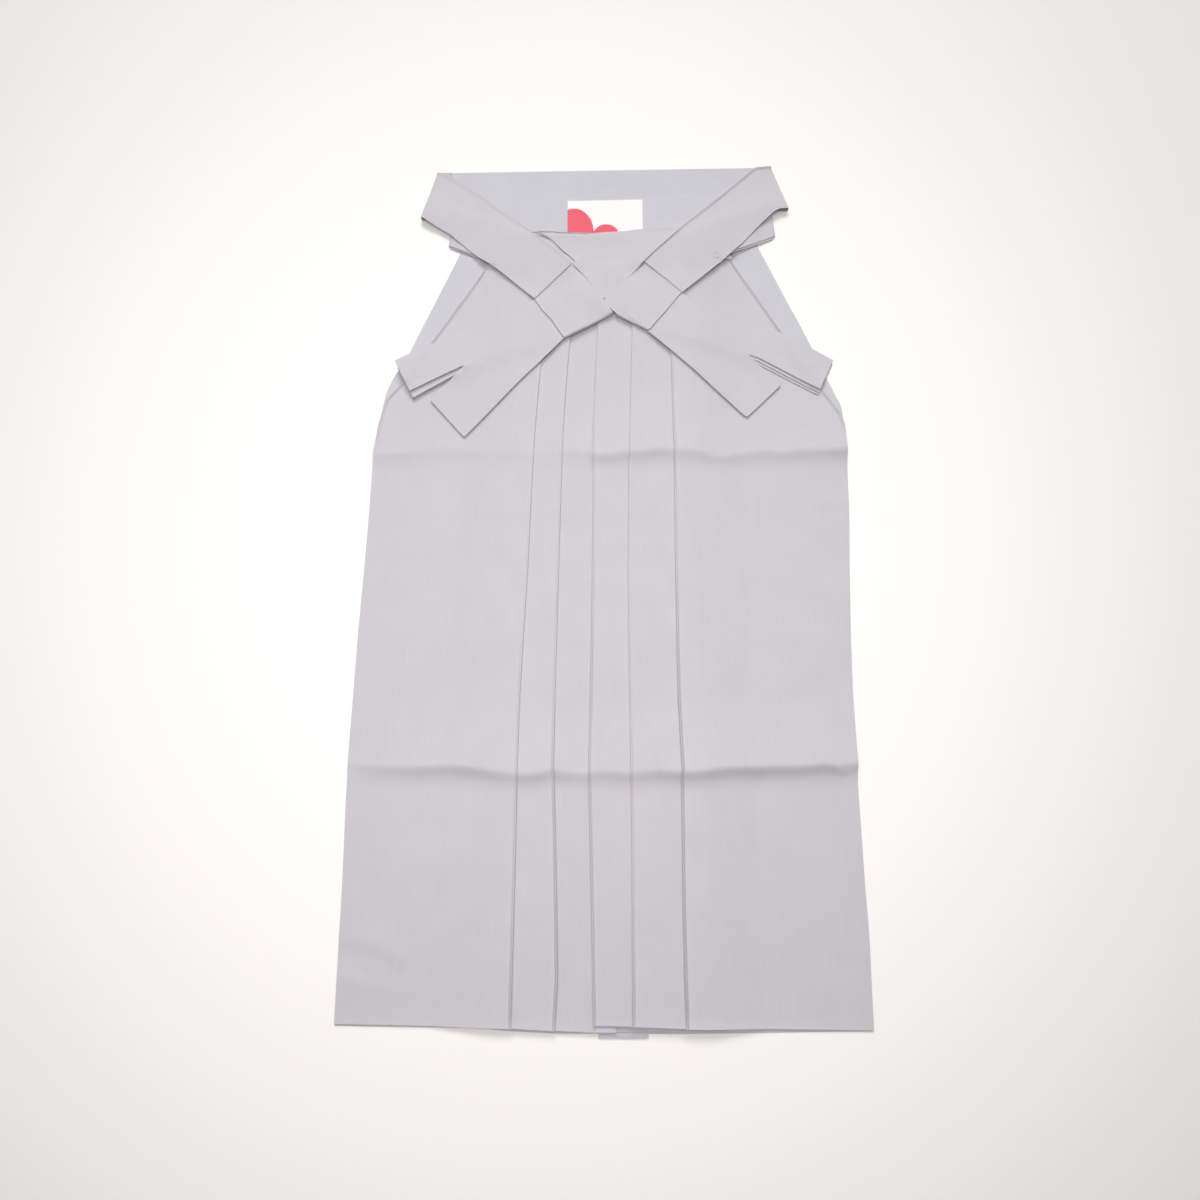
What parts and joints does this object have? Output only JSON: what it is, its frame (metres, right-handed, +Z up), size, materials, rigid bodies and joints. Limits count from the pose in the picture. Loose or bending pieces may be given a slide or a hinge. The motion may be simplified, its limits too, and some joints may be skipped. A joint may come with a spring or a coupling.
{
  "type": "hakama trousers",
  "caption": "Pleated wide-legged trousers laid flat, front up, with the front ties folded across the waist and the back ties woven over them.",
  "frame": {"origin": "middle of the garment's box in plan, on the surface that it lies on", "axes": "+X towards the right of the laid garment seen from above, +Y from the hems to the waist, +Z up from the surface"},
  "size_m": [0.6194, 1.0896, 0.027],
  "materials": {
    "cloth": "matte",
    "cloth_inside": "matte",
    "label_white": "satin"
  },
  "bodies": {
    "root": {"back_panel": "cloth_inside", "back_waistband": "cloth_inside", "label": "label_white", "gusset": "cloth", "front_left": "cloth", "front_right": "cloth", "front_waistband": "cloth", "front_tie_left_folds": "cloth", "front_tie_left_top": "cloth", "front_tie_right_folds": "cloth", "front_tie_right_top": "cloth", "back_tie_left_run": "cloth", "back_tie_left_square": "cloth", "back_tie_left_leg": "cloth", "back_tie_left_head": "cloth", "back_tie_right_run": "cloth", "back_tie_right_square": "cloth", "back_tie_right_leg": "cloth", "back_tie_right_head": "cloth"}
  },
  "joints": []
}
